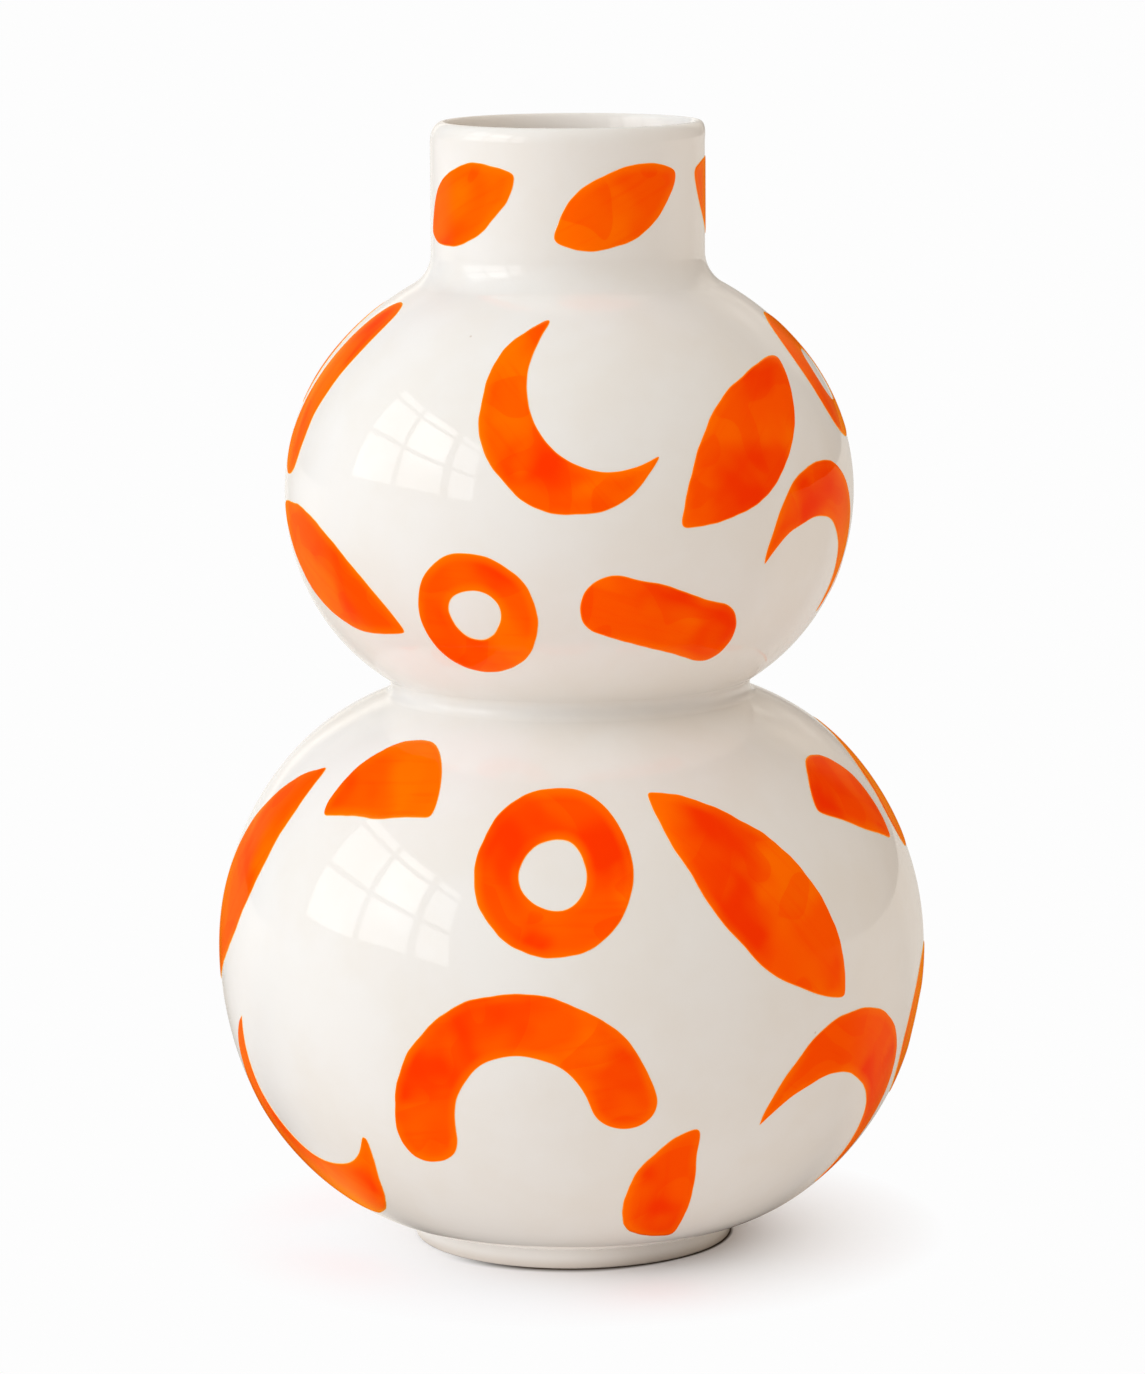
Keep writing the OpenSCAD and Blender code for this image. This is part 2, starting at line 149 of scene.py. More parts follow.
def upper_arcs():
    """Arcs of the upper bulb's outside, from the waist up to the neck."""
    widest = np.array([UPPER_BELLY_R, UPPER_BELLY_Z])
    reach = WAIST_CENTRE - WAIST_FILLET_R * unit(-UPPER_UNDER_DEG) - widest
    belly_r, under_r = two_radii(reach, 0, -UPPER_BELLY_DEG, -UPPER_UNDER_DEG)
    belly = belly_arc(*widest, belly_r, -UPPER_BELLY_DEG, 0)
    under = turn_into(belly, -UPPER_BELLY_DEG, under_r, -UPPER_UNDER_DEG, -UPPER_BELLY_DEG)
    reach = NECK_ROOT_CENTRE - NECK_FILLET_R * unit(UPPER_SHOULDER_DEG) - widest
    top_r, shoulder_r = two_radii(reach, 0, UPPER_TOP_DEG, UPPER_SHOULDER_DEG)
    top = belly_arc(*widest, top_r, 0, UPPER_TOP_DEG)
    shoulder = turn_into(top, UPPER_TOP_DEG, shoulder_r, UPPER_TOP_DEG, UPPER_SHOULDER_DEG)
    return [under, belly], [top, shoulder]


LOWER_BOWL, LOWER_SHOULDER = lower_arcs()
UPPER_BOWL, UPPER_SHOULDER = upper_arcs()
WAIST = [Arc(WAIST_CENTRE, -WAIST_FILLET_R, LOWER_SHOULDER_DEG, -UPPER_UNDER_DEG)]
NECK_ROOT = [Arc(NECK_ROOT_CENTRE, -NECK_FILLET_R, UPPER_SHOULDER_DEG, 0)]


def arc_rows(arcs):
    """Rows of (radius, height, normal's angle) along arcs that follow on each other."""
    rows = []
    for arc in arcs:
        turn = abs(arc.high - arc.low)
        steps = math.ceil(max(turn / ROW_DEG, abs(arc.radius) * math.radians(turn) / ROW_MM))
        for deg in np.linspace(arc.low, arc.high, steps + 1)[bool(rows):]:
            rows.append((*(arc.centre + arc.radius * unit(deg)), deg))
    return rows


def walled(outer):
    """Closed line of a wall: up its outside, and down its inside at the wall's distance."""
    return outer + [(*(np.array([r, z]) - WALL * unit(deg)), deg + 180) for r, z, deg in reversed(outer)]


# ---------------------------------------------------------------- turned pieces

def set_normals(mesh, normals):
    """Smooth shading with these normals, one a vertex."""
    mesh.polygons.foreach_set("use_smooth", [True] * len(mesh.polygons))
    mesh.normals_split_custom_set_from_vertices(normals)


def new_object(name, points_mm, faces, normals):
    """Mesh object from points in millimetres, with its own normals."""
    mesh = bpy.data.meshes.new(name)
    mesh.from_pydata((np.asarray(points_mm) * MM).tolist(), [], faces)
    mesh.update()
    set_normals(mesh, normals)
    piece = bpy.data.objects.new(name, mesh)
    bpy.context.scene.collection.objects.link(piece)
    return piece


def lip_shift(z):
    """How far the hand-trimmed lip stands to the right of the axis at a height."""
    return LIP_SHIFT * np.clip((z - LIP_Z) / (TOTAL_H - LIP_Z), 0, 1) ** 2


def turned(profile):
    """Each pair of distance from the axis and height, once round the axis."""
    turn = np.linspace(0, 2 * math.pi, TURN_STEPS, endpoint=False)
    around = np.column_stack([np.cos(turn), np.sin(turn)])
    return np.concatenate([np.column_stack([out * around, np.full(TURN_STEPS, up)]) for out, up in profile])


def lathe(name, rows):
    """Closed ring, turned from closed rows of (radius, height, normal's angle)."""
    points = turned([(r, z) for r, z, _ in rows])
    points[:, 0] += lip_shift(points[:, 2])
    normals = turned([unit(deg) for _, _, deg in rows])
    faces = []
    for i in range(len(rows)):
        low, high = i * TURN_STEPS, (i + 1) % len(rows) * TURN_STEPS
        for k in range(TURN_STEPS):
            n = (k + 1) % TURN_STEPS
            faces.append((low + k, low + n, high + n, high + k))
    return new_object(name, points, faces, normals)


def corner_rows(centre, radius, low, high):
    """Rows round a small corner."""
    steps = math.ceil(abs(high - low) / CORNER_DEG)
    return [(*(np.array(centre) + radius * unit(deg)), deg) for deg in np.linspace(low, high, steps + 1)]


def oval_rows(centre, width, height, low, high):
    """Rows along an upright oval, between two of its angles."""
    rows = []
    for deg in np.linspace(low, high, LIP_ROWS):
        x, z = unit(deg)
        normal_deg = math.degrees(math.atan2(z / height, x / width))
        rows.append((centre[0] + x * width, centre[1] + z * height, normal_deg))
    return rows


def lip_rows():
    """Closed line of the lip: up its outside, over its round top and down its inside."""
    (out_w, out_h), (in_w, in_h) = LIP_OUTSIDE, LIP_INSIDE
    top_r = NECK_R - out_w
    return [
        (NECK_R, LIP_Z, 0),
        *oval_rows((top_r, TOTAL_H - out_h), out_w, out_h, 0, 90),
        *oval_rows((top_r, TOTAL_H - in_h), in_w, in_h, 90, 180)[1:],
        (NECK_R - WALL, LIP_Z, 180),
    ]


def neck_rows():
    """Closed line of the neck: the hollow at its root and the straight above it."""
    root = arc_rows(NECK_ROOT)
    heights = [*np.arange(NECK_Z + ROW_MM, LIP_Z, ROW_MM), LIP_Z]
    inside = [(NECK_R - WALL, z, 180) for z in reversed(heights)]
    return root + [(NECK_R, z, 0) for z in heights] + inside + walled(root)[len(root):]


def foot_rows():
    """Closed line of the foot ring, with the glaze that rounds the crease above it."""
    lean = -math.degrees(math.atan2(FOOT_FLARE, FOOT_H))
    out = unit(lean)
    inner_r = FOOT_R - FOOT_W
    bevel_r = FOOT_R - FOOT_BEVEL * (1 + out[1]) / out[0]
    heel = LOWER_BOWL[0]
    share = (FOOT_GLAZE_R - out @ (heel.centre - np.array([FOOT_R, 0]))) / (heel.radius + FOOT_GLAZE_R)
    meet = lean - math.degrees(math.acos(share))
    centre = heel.centre + (heel.radius + FOOT_GLAZE_R) * unit(meet)
    glaze = [(*(centre - FOOT_GLAZE_R * unit(deg)), deg) for deg in np.linspace(lean, meet, FOOT_GLAZE_ROWS)]
    sunk = np.array(glaze[-1][:2]) - FOOT_GLAZE_SUNK * unit(meet)
    return [
        *corner_rows((bevel_r, FOOT_BEVEL), FOOT_BEVEL, -90, lean),
        *glaze,
        (*sunk, meet + 90),
        (FOOT_R - FOOT_GLAZE_SUNK, FOOT_H, 90),
        (inner_r, FOOT_H, 180),
        *corner_rows((inner_r + FOOT_BEVEL, FOOT_BEVEL), FOOT_BEVEL, 180, 270),
    ]


# ---------------------------------------------------------------- outlines of the marks

POINT_STEP = 0.5


def arc_points(centre, radius, low, high):
    """Points half a millimetre apart on an arc of a flat outline, in its own order."""
    steps = max(2, math.ceil(abs(math.radians(high - low)) * radius / POINT_STEP))
    return [np.array(centre) + radius * unit(deg) for deg in np.linspace(low, high, steps, endpoint=False)]


def leaf(length, width):
    """Lens between two equal arcs."""
    side_r = (length ** 2 + width ** 2) / (4 * width)
    half = math.degrees(math.asin(length / 2 / side_r))
    rise = side_r - width / 2
    below = arc_points((0, rise), side_r, 270 - half, 270 + half)
    above = arc_points((0, -rise), side_r, 90 - half, 90 + half)
    return [below + above]


def arch(radius, width):
    """Half ring of a stroke, with round ends."""
    return [
        arc_points((0, 0), radius + width / 2, 0, 180)
        + arc_points((-radius, 0), width / 2, 180, 360)
        + arc_points((0, 0), radius - width / 2, 180, 0)
        + arc_points((radius, 0), width / 2, 180, 360)
    ]


def crescent(radius):
    """Disc less a circle that stands lower."""
    drop, hollow_r = radius * CRESCENT_DROP_SHARE, radius * CRESCENT_HOLLOW_SHARE
    horn_y = (hollow_r ** 2 - radius ** 2 - drop ** 2) / (2 * drop)
    horn = math.degrees(math.asin(horn_y / radius))
    inner_horn = math.degrees(math.asin((horn_y + drop) / hollow_r))
    outside = arc_points((0, 0), radius, horn, 180 - horn)
    hollow = arc_points((0, -drop), hollow_r, 180 - inner_horn, inner_horn)
    return [outside + hollow]


def ring(radius):
    """Disc with a round hole."""
    return [arc_points((0, 0), radius, 0, 360), arc_points((0, 0), radius * RING_HOLE_SHARE, 360, 0)]


def half_moon(radius):
    """Upper half of a disc."""
    base = [np.array([x, 0.0]) for x in np.arange(-radius, radius, POINT_STEP)]
    return [arc_points((0, 0), radius, 0, 180) + base]


def bar(length, width):
    """Stroke with round ends."""
    reach = (length - width) / 2
    sides = [np.array([x, width / 2]) for x in np.arange(reach, -reach, -POINT_STEP)]
    return [
        sides + arc_points((-reach, 0), width / 2, 90, 270)
        + [-p for p in sides] + arc_points((reach, 0), width / 2, 270, 450)
    ]


# ---------------------------------------------------------------- patches of coloured glaze

# A patch stands proud of the wall, is rounded along its rim, and reaches a little way into the wall
MARK_H = 0.26
MARK_ROUND_W = 1.3
MARK_SUNK = 0.3
RIM_SLOPE_LEAST = 0.08

# Mesh of a patch: rows at these distances from the rim, then a grid of triangles
RIM_INSETS = (0.12, 0.35, 0.7, 1.3, 2.2)
SPARSE_INSET = 1
INSET_KEPT_SHARE = 0.97
GRID_STEP, GRID_RISE_SHARE, GRID_GAP_SHARE = 2.2, 0.866, 0.4
CDT_WITH_HOLES, CDT_MERGED = 4, 1e-6
POINTS_AT_ONCE = 400
LEAST_DISTANCE, LEAST_RISE = 1e-6, 1e-9
TABLE_STEPS = 1500
NUDGE = 0.01

# Hand of the painter: step along the outline, softness of its tips, and swings of a wave length and a size
OUTLINE_STEP = 0.7
TIP_SOFTNESS, TIP_REACH = 2.0, 4
WOBBLES = ((70, 0.5), (33, 0.35), (15, 0.16), (6, 0.05))
WOBBLE_LEAST, WOBBLE_SHARE = 0.4, 0.6

# Each patch takes its brush strokes from another place of the same noise
PATCH_APART, KIND_APART = 137.0, 61.0


def profile_table(arcs):
    """Heights, radii and normals' angles along the outside, close enough to read between."""
    rows = []
    for arc in arcs:
        for deg in np.linspace(arc.low, arc.high, TABLE_STEPS):
            r, z = arc.centre + arc.radius * unit(deg)
            rows.append((z, r, deg))
    return np.array(rows).T


LOWER_TABLE = profile_table(LOWER_BOWL + LOWER_SHOULDER)
UPPER_TABLE = profile_table(UPPER_BOWL + UPPER_SHOULDER + NECK_ROOT)
NECK_TABLE = np.array([(NECK_Z, NECK_R, 0), (LIP_Z, NECK_R, 0)]).T


def wrap(flat, place, height, table):
    """Points and normals of the wall where flat points are drawn onto it from the axis."""
    around, _, tilt = place
    turn, side = unit(tilt), unit(tilt + 90)
    u = flat[:, 0] * turn[0] + flat[:, 1] * side[0]
    z = height + flat[:, 0] * turn[1] + flat[:, 1] * side[1]
    r = np.interp(z, table[0], table[1])
    angle = np.radians(np.interp(z, table[0], table[2]))
    bearing = np.arcsin(np.clip(u / r, -1, 1)) + math.radians(around)
    out = np.column_stack([np.sin(bearing), -np.cos(bearing)])
    points = np.column_stack([r[:, None] * out, z])
    return points, np.column_stack([np.cos(angle)[:, None] * out, np.sin(angle)])


def hand_drawn(loop, rng):
    """Outline at even steps, with soft tips and the small swings of a hand."""
    loop = np.array(loop)
    closed = np.vstack([loop, loop[:1]])
    along = np.concatenate([[0], np.cumsum(np.linalg.norm(np.diff(closed, axis=0), axis=1))])
    length = along[-1]
    count = round(length / OUTLINE_STEP)
    at = np.linspace(0, length, count, endpoint=False)
    even = np.column_stack([np.interp(at, along, closed[:, k]) for k in (0, 1)])
    reach = int(TIP_REACH * TIP_SOFTNESS / OUTLINE_STEP)
    offsets = np.arange(-reach, reach + 1)
    weights = np.exp(-0.5 * (offsets * OUTLINE_STEP / TIP_SOFTNESS) ** 2)
    even = sum(w * np.roll(even, k, axis=0) for k, w in zip(offsets, weights)) / weights.sum()
    step = np.roll(even, -1, axis=0) - np.roll(even, 1, axis=0)
    side = np.column_stack([step[:, 1], -step[:, 0]]) / np.linalg.norm(step, axis=1)[:, None]
    swing = np.zeros(count)
    for wave, size in WOBBLES:
        turns = max(2, round(length / wave))
        for more in (0, 1):
            strength = size * rng.uniform(WOBBLE_LEAST, 1)
            swing += strength * np.sin(2 * math.pi * ((turns + more) * at / length + rng.uniform()))
    return even + side * swing[:, None] * WOBBLE_SHARE


def edge_distance(points, loops):
    """Distance of each point from the outline, and the flat direction away from it."""
    rim = np.vstack(loops)
    nearest = np.empty(len(points))
    away = np.empty_like(points)
    for k in range(0, len(points), POINTS_AT_ONCE):
        part = points[k:k + POINTS_AT_ONCE]
        apart = part[:, None] - rim[None]
        squared = (apart ** 2).sum(2)
        best = squared.argmin(1)
        nearest[k:k + POINTS_AT_ONCE] = np.sqrt(squared.min(1))
        away[k:k + POINTS_AT_ONCE] = apart[np.arange(len(part)), best]
    return nearest, away / np.maximum(nearest, LEAST_DISTANCE)[:, None]


def inward(loop):
    """Unit vectors to the left of a loop, which is inwards for one that runs anticlockwise."""
    step = np.roll(loop, -1, axis=0) - np.roll(loop, 1, axis=0)
    return np.column_stack([-step[:, 1], step[:, 0]]) / np.linalg.norm(step, axis=1)[:, None]


def fill_points(loops):
    """Points inside the outline: rows that follow the rim, then a grid of triangles."""
    rows = []
    for inset in RIM_INSETS:
        for loop in loops:
            row = loop + inward(loop) * inset
            if inset > SPARSE_INSET:
                row = row[::2]
            rows.append(row[edge_distance(row, loops)[0] > inset * INSET_KEPT_SHARE])
    low, high = loops[0].min(0), loops[0].max(0)
    grid = []
    for j, y in enumerate(np.arange(low[1], high[1], GRID_STEP * GRID_RISE_SHARE)):
        grid += [(x, y) for x in np.arange(low[0] + (j % 2) * GRID_STEP / 2, high[0], GRID_STEP)]
    grid = np.array(grid)
    inside = np.zeros(len(grid), bool)
    for loop in loops:
        a, b = loop, np.roll(loop, -1, axis=0)
        crosses = (a[None, :, 1] > grid[:, None, 1]) != (b[None, :, 1] > grid[:, None, 1])
        rise = np.where(b[:, 1] == a[:, 1], LEAST_RISE, b[:, 1] - a[:, 1])
        x = a[:, 0] + (grid[:, None, 1] - a[:, 1]) / rise * (b[:, 0] - a[:, 0])
        inside ^= (crosses & (grid[:, None, 0] < x)).sum(1) % 2 == 1
    grid = grid[inside]
    rows.append(grid[edge_distance(grid, loops)[0] > RIM_INSETS[-1] + GRID_STEP * GRID_GAP_SHARE])
    return np.vstack(rows)


def patch(loops, place, height, table, rng):
    """One closed skin of glaze on the wall: points, faces, normals, distance from the rim and flat place."""
    loops = [hand_drawn(loop, rng) for loop in loops]
    points = np.vstack([*loops, fill_points(loops)])
    edges, start = [], 0
    for loop in loops:
        edges += [(start + k, start + (k + 1) % len(loop)) for k in range(len(loop))]
        start += len(loop)
    points = [Vector(p) for p in points]
    flat, _, triangles, *_ = delaunay_2d_cdt(points, edges, [], CDT_WITH_HOLES, CDT_MERGED)
    flat = np.array([tuple(p) for p in flat])
    nearest, away = edge_distance(flat, loops)
    wall, normal = wrap(flat, place, height, table)
    ahead, _ = wrap(flat + NUDGE * away, place, height, table)
    slope_way = (ahead - wall) / NUDGE
    rise = np.clip(nearest / MARK_ROUND_W, 0, 1)
    top_h = MARK_H * np.sqrt(1 - (1 - rise) ** 2)
    fall = np.sqrt(np.maximum(1 - (1 - rise) ** 2, RIM_SLOPE_LEAST))
    slope = MARK_H / MARK_ROUND_W * (1 - rise) / fall
    top_normal = normal - slope[:, None] * slope_way
    top_normal /= np.linalg.norm(top_normal, axis=1)[:, None]
    count = len(flat)
    around = dict.fromkeys(edge for a, b, c in triangles for edge in ((a, b), (b, c), (c, a)))
    sides = [(b, a, a + count, b + count) for a, b in around if (b, a) not in around]
    below = [(c + count, b + count, a + count) for a, b, c in triangles]
    return (
        np.vstack([wall + normal * top_h[:, None], wall - normal * MARK_SUNK]),
        [tuple(t) for t in triangles] + sides + below,
        np.vstack([top_normal, -normal]),
        np.concatenate([nearest, np.zeros(count)]),
        np.vstack([flat, flat]),
    )


def marks(name, loops, places, low, high, table, seed):
    """One object of equal patches, at their places on the section between two heights."""
    rng = np.random.default_rng(seed)
    points, faces, normals, nearest, flats, start = [], [], [], [], [], 0
    for k, place in enumerate(places):
        p, f, n, d, uv = patch(loops, place, low + place[1] * (high - low), table, rng)
        faces += [tuple(i + start for i in face) for face in f]
        start += len(p)
        points.append(p)
        normals.append(n)
        nearest.append(d)
        flats.append(np.column_stack([uv, np.full(len(uv), PATCH_APART * (k + 1) + KIND_APART * seed)]))
    piece = new_object(name, np.vstack(points), faces, np.vstack(normals))
    rim = piece.data.attributes.new("rim_distance", "FLOAT", "POINT")
    rim.data.foreach_set("value", np.concatenate(nearest).astype(np.float32))
    brush = piece.data.attributes.new("brush_place", "FLOAT_VECTOR", "POINT")
    brush.data.foreach_set("vector", np.vstack(flats).astype(np.float32).ravel())
    return piece


# ---------------------------------------------------------------- node graphs

def add(tree, kind, inputs=None, **settings):
    """Node with its inputs linked or set, and its settings."""
    made = tree.nodes.new("ShaderNode" + kind)
    for key, value in settings.items():
        setattr(made, key, value)
    for key, value in (inputs or {}).items():
        if isinstance(value, bpy.types.NodeSocket):
            tree.links.new(value, made.inputs[key])
        else:
            made.inputs[key].default_value = value
    return made


def colour(r, g, b):
    """Colour with full opacity, from linear shares."""
    return (r, g, b, 1.0)


def noise(tree, where, scale, detail=2.0, roughness=0.5, distortion=0.0):
    """Noise value over a place, with as many grains to its unit of length as the scale says."""
    made = add(tree, "TexNoise", {"Vector": where, "Scale": scale, "Detail": detail, "Roughness": roughness,
                                  "Distortion": distortion})
    return made.outputs["Fac"]


def span(tree, value, low, high, out_low=0.0, out_high=1.0, smooth=True):
    """Value taken from one range to another, and held at its ends."""
    inputs = {"Value": value, "From Min": low, "From Max": high, "To Min": out_low, "To Max": out_high}
    kind = "SMOOTHSTEP" if smooth else "LINEAR"
    return add(tree, "MapRange", inputs, interpolation_type=kind).outputs["Result"]


def choose(tree, flag, without, within):
    """One of two values, by a flag of the ray's path."""
    return span(tree, flag, 0, 1, without, within, smooth=False)


def maths(tree, operation, a, b=0.0):
    """One sum on two values."""
    return add(tree, "Math", {0: a, 1: b}, operation=operation).outputs[0]


def norm(tree, vector):
    """Length of a vector."""
    return add(tree, "VectorMath", {0: vector}, operation="LENGTH").outputs["Value"]


def dot(tree, a, b):
    """Dot product of two vectors."""
    return add(tree, "VectorMath", {0: a, 1: b}, operation="DOT_PRODUCT").outputs["Value"]


def height_and_radius(tree, where):
    """Height of a place, and its distance from the axis."""
    parts = add(tree, "SeparateXYZ", {"Vector": where})
    flat = add(tree, "CombineXYZ", {"X": parts.outputs["X"], "Y": parts.outputs["Y"]}).outputs[0]
    return parts.outputs["Z"], norm(tree, flat)


def blend(tree, share, a, b):
    """Mix of two colours."""
    made = tree.nodes.new("ShaderNodeMix")
    made.data_type = "RGBA"
    for socket, value in ((made.inputs[0], share), (made.inputs[6], a), (made.inputs[7], b)):
        if isinstance(value, bpy.types.NodeSocket):
            tree.links.new(value, socket)
        else:
            socket.default_value = value
    return made.outputs[2]


def bump(tree, height, distance, normal=None):
    """Bump from a height in shares of a distance in metres."""
    inputs = {"Height": height, "Distance": distance, "Strength": 1.0}
    if normal is not None:
        inputs["Normal"] = normal
    return add(tree, "Bump", inputs).outputs["Normal"]


def empty_material(name):
    """Material without a node."""
    made = bpy.data.materials.new(name)
    made.use_nodes = True
    made.node_tree.nodes.clear()
    return made, made.node_tree


def new_material(name):
    """Material with a Principled shader."""
    made, tree = empty_material(name)
    shader = add(tree, "BsdfPrincipled")
    add(tree, "OutputMaterial", {"Surface": shader.outputs[0]})
    return made, tree, shader


def link(tree, shader, **sockets):
    """Links made values to the shader's sockets, or sets the constant ones."""
    for key, value in sockets.items():
        socket = shader.inputs[key.replace("_", " ")]
        if isinstance(value, bpy.types.NodeSocket):
            tree.links.new(value, socket)
        else:
            socket.default_value = value


# ---------------------------------------------------------------- materials

GLAZE = colour(0.905, 0.865, 0.815)
GLAZE_CREAM = colour(0.885, 0.832, 0.765)
# Painted light: a paler, warmer glaze colour inside the mouth stands in for the light that falls in there
MOUTH_PAINTED_LIGHT = colour(0.97, 0.905, 0.835)
# Painted shade: a darker colour toward the foot ring's bottom edge stands in for the shade near the floor
FOOT_PAINTED_SHADE = colour(0.70, 0.62, 0.54)
GLAZE_SPECK = colour(0.60, 0.47, 0.38)
CLAY = colour(0.66, 0.58, 0.50)
CLAY_DARK = colour(0.52, 0.44, 0.37)
ORANGE = colour(1.16, 0.114, 0.0)
ORANGE_DEEP = colour(1.08, 0.044, 0.0)
ORANGE_THIN = colour(1.20, 0.200, 0.0)
ORANGE_RIM = colour(1.22, 0.28, 0.0)
GLAZE_HALO = colour(0.98, 0.95, 0.92)
GLAZE_IOR = 1.5
MARK_SHINE, MARK_SHINE_LEVEL = colour(1.0, 0.60, 0.30), 0.14

# A clear coat that hardly mirrors: it only tints what lies under it, more so at shallow angles
MARK_DEPTH_TINT, MARK_DEPTH_IOR = colour(1.0, 0.93, 0.66), 1.001

# Relief and gloss of both glazes: grains a metre, spans of the noise that count, and depths in metres
WAVE_GRAINS, WAVE_DEPTH = 16, 0.0011
RIPPLE_GRAINS, RIPPLE_DEPTH, MARK_RIPPLE_DEPTH = 95, 0.00003, 0.00004
GLOSS_GRAINS, GLOSS_SPAN, GLOSS_ROUGHNESS = 60, (0.3, 0.7), (0.025, 0.055)

# White glaze: its mottling, the radii and heights over which a painted light brightens the mouth's inside,
# the heights over which a painted shade darkens it toward the bottom edge of the foot, and its pinholes
MOTTLE_GRAINS, MOTTLE_SPAN = 24, (0.35, 0.68)
MOUTH_FADE_H = 10
MOUTH_RADII, MOUTH_HEIGHTS = (0.0436, 0.0452), ((NECK_Z - MOUTH_FADE_H) * MM, NECK_Z * MM)
FOOT_SHADE_HEIGHTS, FOOT_SHADE_SHARE = (0.0005, 0.0045), 0.85
PINHOLE_GRAINS, PINHOLE_SPAN = 120.0, (0.045, 0.075)
PINHOLE_CHOSEN, PINHOLE_SHARE = (0.975, 0.98), 0.5


def gloss(tree, where):
    """Roughness of a fired glaze."""
    return span(tree, noise(tree, where, GLOSS_GRAINS, 3.0), *GLOSS_SPAN, *GLOSS_ROUGHNESS)


def glossy_relief(tree, where, ripple_depth):
    """Slow waves and fine ripples of a fired glaze."""
    waves = bump(tree, noise(tree, where, WAVE_GRAINS, 1.0), WAVE_DEPTH)
    return bump(tree, noise(tree, where, RIPPLE_GRAINS, 2.0), ripple_depth, normal=waves)


def pinholes(tree, where):
    """Share of the small dark pits: the middles of a few cells."""
    cells = add(tree, "TexVoronoi", {"Vector": where, "Scale": PINHOLE_GRAINS}, feature="F1")
    hole = span(tree, cells.outputs["Distance"], *PINHOLE_SPAN, 1.0, 0.0)
    draw = add(tree, "SeparateColor", {"Color": cells.outputs["Color"]}).outputs[0]
    hole = maths(tree, "MULTIPLY", hole, span(tree, draw, *PINHOLE_CHOSEN))
    return maths(tree, "MULTIPLY", hole, PINHOLE_SHARE)


def glaze_material():
    """Warm white gloss glaze, faintly mottled, with a few pinholes, painted lighter inside the mouth and
    darker toward the foot's bottom edge.
    """
    made, tree, shader = new_material("white_glaze")
    where = add(tree, "TexCoord").outputs["Object"]
    height, radius = height_and_radius(tree, where)
    mottled = span(tree, noise(tree, where, MOTTLE_GRAINS, 4.0, 0.55), *MOTTLE_SPAN)
    body = blend(tree, mottled, GLAZE, GLAZE_CREAM)
    within = span(tree, radius, *MOUTH_RADII, 1.0, 0.0)
    mouth_light = maths(tree, "MULTIPLY", within, span(tree, height, *MOUTH_HEIGHTS))
    # painted light inside the mouth
    body = blend(tree, mouth_light, body, MOUTH_PAINTED_LIGHT)
    # painted shade toward the foot's bottom edge
    body = blend(tree, span(tree, height, *FOOT_SHADE_HEIGHTS, FOOT_SHADE_SHARE, 0.0), body, FOOT_PAINTED_SHADE)
    body = blend(tree, pinholes(tree, where), body, GLAZE_SPECK)
    link(tree, shader, Base_Color=body, Roughness=gloss(tree, where), IOR=GLAZE_IOR,
         Normal=glossy_relief(tree, where, RIPPLE_DEPTH))
    return made


# Orange glaze: each layer is a noise in grains a millimetre, the span of it that counts, and its share
BRUSH_ELSEWHERE = (400.0, 0.0, 50.0)
POOL_GRAINS, POOL_SPAN = 0.034, (0.44, 0.66)
WASH_GRAINS, WASH_SPAN, WASH_SHARE = 0.028, (0.48, 0.68), 0.8
LAP_GRAINS, LAP_SPAN, LAP_SHARE = 0.045, (0.56, 0.572), 0.32
STREAK_GRAINS, STREAK_SPAN, STREAK_SHARE = (0.03, 0.42, 1.0), (0.5, 0.75), 0.22
EDGE_GRAINS, EDGE_SPAN, EDGE_SHARE = 0.03, (0.35, 0.6), 0.7

# Bands along the rim of a mark: distances in millimetres, and the share at the rim
EDGE_BAND = (0.5, 4.0)
RIM_BAND, RIM_SHARE = (0.25, 0.75), 0.75
HALO_BAND, HALO_SHARE = (0.05, 0.22), 0.9


def mark_material():
    """Orange glaze laid on with a full brush: soft pools, a few overlaps and a thin, pale rim."""
    made, tree, shader = new_material("orange_glaze")
    where = add(tree, "TexCoord").outputs["Object"]
    place = add(tree, "Attribute", attribute_name="brush_place").outputs["Vector"]
    rim = add(tree, "Attribute", attribute_name="rim_distance").outputs["Fac"]
    pools = span(tree, noise(tree, place, POOL_GRAINS, 2.0, 0.4, 0.3), *POOL_SPAN)
    tone = blend(tree, pools, ORANGE, ORANGE_DEEP)
    elsewhere = add(tree, "VectorMath", {0: place, 1: BRUSH_ELSEWHERE}, operation="ADD").outputs[0]
    washed = span(tree, noise(tree, elsewhere, WASH_GRAINS, 2.0, 0.4, 0.3), *WASH_SPAN)
    tone = blend(tree, maths(tree, "MULTIPLY", washed, WASH_SHARE), tone, ORANGE_THIN)
    laps = span(tree, noise(tree, elsewhere, LAP_GRAINS, 0.0, 0.5, 0.8), *LAP_SPAN)
    tone = blend(tree, maths(tree, "MULTIPLY", laps, LAP_SHARE), tone, ORANGE_DEEP)
    drawn = add(tree, "Mapping", {"Vector": place, "Scale": STREAK_GRAINS}, vector_type="POINT").outputs[0]
    streaks = span(tree, noise(tree, drawn, 1.0, 2.0), *STREAK_SPAN)
    tone = blend(tree, maths(tree, "MULTIPLY", streaks, STREAK_SHARE), tone, ORANGE_DEEP)
    edge = span(tree, rim, *EDGE_BAND, 1.0, 0.0)
    edge = maths(tree, "MULTIPLY", edge, span(tree, noise(tree, place, EDGE_GRAINS), *EDGE_SPAN))
    tone = blend(tree, maths(tree, "MULTIPLY", edge, EDGE_SHARE), tone, ORANGE_THIN)
    tone = blend(tree, span(tree, rim, *RIM_BAND, RIM_SHARE, 0.0), tone, ORANGE_RIM)
    tone = blend(tree, span(tree, rim, *HALO_BAND, HALO_SHARE, 0.0), tone, GLAZE_HALO)
    link(tree, shader, Base_Color=tone, Roughness=gloss(tree, where), IOR=GLAZE_IOR,
         Specular_Tint=MARK_SHINE, Specular_IOR_Level=MARK_SHINE_LEVEL,
         Coat_Weight=1.0, Coat_IOR=MARK_DEPTH_IOR, Coat_Tint=MARK_DEPTH_TINT,
         Normal=glossy_relief(tree, where, MARK_RIPPLE_DEPTH))
    return made


